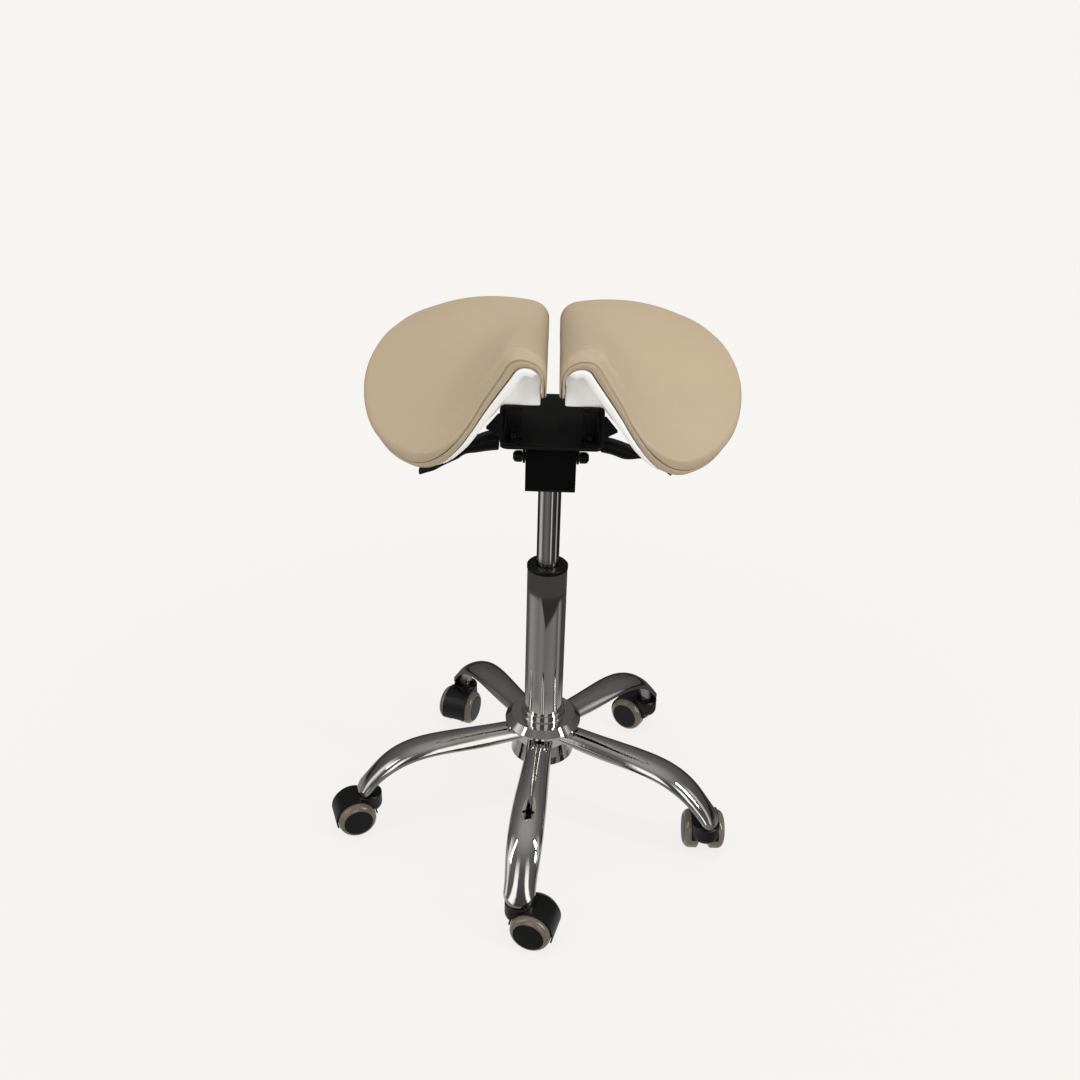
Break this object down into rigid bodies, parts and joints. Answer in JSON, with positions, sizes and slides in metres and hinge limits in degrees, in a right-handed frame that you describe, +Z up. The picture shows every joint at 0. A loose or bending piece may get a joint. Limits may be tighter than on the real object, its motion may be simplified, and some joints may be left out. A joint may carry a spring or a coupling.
{
  "type": "saddle stool",
  "caption": "Height-adjustable saddle stool: a split, padded seat with a tilt mechanism and two levers, on a gas column and a star base with twin-wheel castors.",
  "frame": {"origin": "on the floor, on the column's axis", "axes": "+Z up along the column, -Y towards the front of the seat, +X to the right in the picture"},
  "size_m": [0.5238, 0.4916, 0.6693],
  "materials": {
    "arms": "polished chrome plate on pressed steel",
    "bright_chrome": "polished chrome plate",
    "plain_steel": "bright zinc-plated or ground steel",
    "black_steel": "satin black powder coat",
    "shell": "glossy white moulding",
    "cover": "tan leatherette over moulded foam",
    "grip": "satin black moulding",
    "black_plastic": "satin black moulding",
    "hood": "matt black moulding",
    "wheel_disc": "satin black moulding",
    "tread": "grey-taupe soft tread with a sheen",
    "bumper": "black rubber"
  },
  "bodies": {
    "base": {"hub_sleeve": "bright_chrome", "hub_cover": "bright_chrome", "arm_front": "arms", "arm_right": "arms", "arm_back_right": "arms", "arm_back_left": "arms", "arm_left": "arms", "caster_sockets": "plain_steel", "caster_stems": "plain_steel", "column_tube": "bright_chrome", "column_cap": "black_plastic", "guide_bush": "black_plastic", "thrust_bearing": "plain_steel"},
    "lift_rod": {"piston_rod": "plain_steel", "bump_stop": "bumper", "rod_clip": "plain_steel"},
    "seat_post": {"gas_cylinder": "bright_chrome", "taper_socket": "black_steel", "mech_housing": "black_steel", "pivot_shaft": "plain_steel", "pivot_caps": "bright_chrome", "tilt_spring": "plain_steel"},
    "release_pin": {"release_pin": "plain_steel"},
    "height_lever": {"height_lever": "plain_steel", "height_grip": "grip"},
    "tilt_lever": {"tilt_lever": "plain_steel", "tilt_grip": "grip"},
    "seat": {"seat_plate": "black_steel", "seat_brackets": "black_steel", "plate_bolts": "plain_steel", "shell_screws": "plain_steel", "shell_left": "shell", "shell_right": "shell", "cushion_left": "cover", "cushion_right": "cover"},
    "caster_front": {"hood_front": "hood"},
    "wheel_front_a": {"tyre_front_a": "tread", "hub_front_a": "wheel_disc"},
    "wheel_front_b": {"tyre_front_b": "tread", "hub_front_b": "wheel_disc"},
    "caster_right": {"hood_right": "hood"},
    "wheel_right_a": {"tyre_right_a": "tread", "hub_right_a": "wheel_disc"},
    "wheel_right_b": {"tyre_right_b": "tread", "hub_right_b": "wheel_disc"},
    "caster_back_right": {"hood_back_right": "hood"},
    "wheel_back_right_a": {"tyre_back_right_a": "tread", "hub_back_right_a": "wheel_disc"},
    "wheel_back_right_b": {"tyre_back_right_b": "tread", "hub_back_right_b": "wheel_disc"},
    "caster_back_left": {"hood_back_left": "hood"},
    "wheel_back_left_a": {"tyre_back_left_a": "tread", "hub_back_left_a": "wheel_disc"},
    "wheel_back_left_b": {"tyre_back_left_b": "tread", "hub_back_left_b": "wheel_disc"},
    "caster_left": {"hood_left": "hood"},
    "wheel_left_a": {"tyre_left_a": "tread", "hub_left_a": "wheel_disc"},
    "wheel_left_b": {"tyre_left_b": "tread", "hub_left_b": "wheel_disc"}
  },
  "joints": [
    {"name": "seat_swivel", "type": "hinge", "parent": "base", "child": "lift_rod", "pos_m": [0, 0, 0.097], "axis": [0, 0, 1], "continuous": true},
    {"name": "height_slide", "type": "slide", "parent": "lift_rod", "child": "seat_post", "axis": [0, 0, 1], "range_m": [-0.1, 0.075]},
    {"name": "seat_tilt", "type": "hinge", "parent": "seat_post", "child": "seat", "pos_m": [0, -0.028, 0.534], "axis": [1, 0, 0], "range_deg": [-6, 10]},
    {"name": "height_lever", "type": "hinge", "parent": "seat_post", "child": "height_lever", "pos_m": [0.0215, 0, 0.541], "axis": [0, -1, 0], "range_deg": [0, 4.5], "stiffness_Nm_per_rad": 2, "springref_deg": -4.58},
    {"name": "release_press", "type": "slide", "parent": "seat_post", "child": "release_pin", "axis": [0, 0, -1], "range_m": [0, 0.0018]},
    {"name": "tilt_lever", "type": "hinge", "parent": "seat_post", "child": "tilt_lever", "pos_m": [0, 0.014, 0.541], "axis": [1, 0, 0], "range_deg": [0, 25]},
    {"name": "swivel_front", "type": "hinge", "parent": "base", "child": "caster_front", "pos_m": [-0.02178, -0.23479, 0.045], "axis": [0, 0, 1], "continuous": true},
    {"name": "roll_front_a", "type": "hinge", "parent": "caster_front", "child": "wheel_front_a", "pos_m": [-0.00289, -0.24039, 0.025], "axis": [0.284, 0.9588, 0], "continuous": true},
    {"name": "roll_front_b", "type": "hinge", "parent": "caster_front", "child": "wheel_front_b", "pos_m": [-0.00289, -0.24039, 0.025], "axis": [0.284, 0.9588, 0], "continuous": true},
    {"name": "swivel_right", "type": "hinge", "parent": "base", "child": "caster_right", "pos_m": [0.21657, -0.09327, 0.045], "axis": [0, 0, 1], "continuous": true},
    {"name": "roll_right_a", "type": "hinge", "parent": "caster_right", "child": "wheel_right_a", "pos_m": [0.21657, -0.07357, 0.025], "axis": [-1, 0, 0], "continuous": true},
    {"name": "roll_right_b", "type": "hinge", "parent": "caster_right", "child": "wheel_right_b", "pos_m": [0.21657, -0.07357, 0.025], "axis": [-1, 0, 0], "continuous": true},
    {"name": "swivel_back_right", "type": "hinge", "parent": "base", "child": "caster_back_right", "pos_m": [0.15563, 0.17715, 0.045], "axis": [0, 0, 1], "continuous": true},
    {"name": "roll_back_right_a", "type": "hinge", "parent": "caster_back_right", "child": "wheel_back_right_a", "pos_m": [0.13918, 0.18799, 0.025], "axis": [-0.5505, -0.8348, 0], "continuous": true},
    {"name": "roll_back_right_b", "type": "hinge", "parent": "caster_back_right", "child": "wheel_back_right_b", "pos_m": [0.13918, 0.18799, 0.025], "axis": [-0.5505, -0.8348, 0], "continuous": true},
    {"name": "swivel_back_left", "type": "hinge", "parent": "base", "child": "caster_back_left", "pos_m": [-0.12039, 0.20275, 0.045], "axis": [0, 0, 1], "continuous": true},
    {"name": "roll_back_left_a", "type": "hinge", "parent": "caster_back_left", "child": "wheel_back_left_a", "pos_m": [-0.12735, 0.18432, 0.025], "axis": [0.9354, -0.3535, 0], "continuous": true},
    {"name": "roll_back_left_b", "type": "hinge", "parent": "caster_back_left", "child": "wheel_back_left_b", "pos_m": [-0.12735, 0.18432, 0.025], "axis": [0.9354, -0.3535, 0], "continuous": true},
    {"name": "swivel_left", "type": "hinge", "parent": "base", "child": "caster_left", "pos_m": [-0.23003, -0.05184, 0.045], "axis": [0, 0, 1], "continuous": true},
    {"name": "roll_left_a", "type": "hinge", "parent": "caster_left", "child": "wheel_left_a", "pos_m": [-0.24842, -0.0589, 0.025], "axis": [0.3584, -0.9336, 0], "continuous": true},
    {"name": "roll_left_b", "type": "hinge", "parent": "caster_left", "child": "wheel_left_b", "pos_m": [-0.24842, -0.0589, 0.025], "axis": [0.3584, -0.9336, 0], "continuous": true}
  ],
  "couplings": [
    {"joint": "release_press", "follows": "height_lever", "m_per_rad": 0.0215}
  ]
}
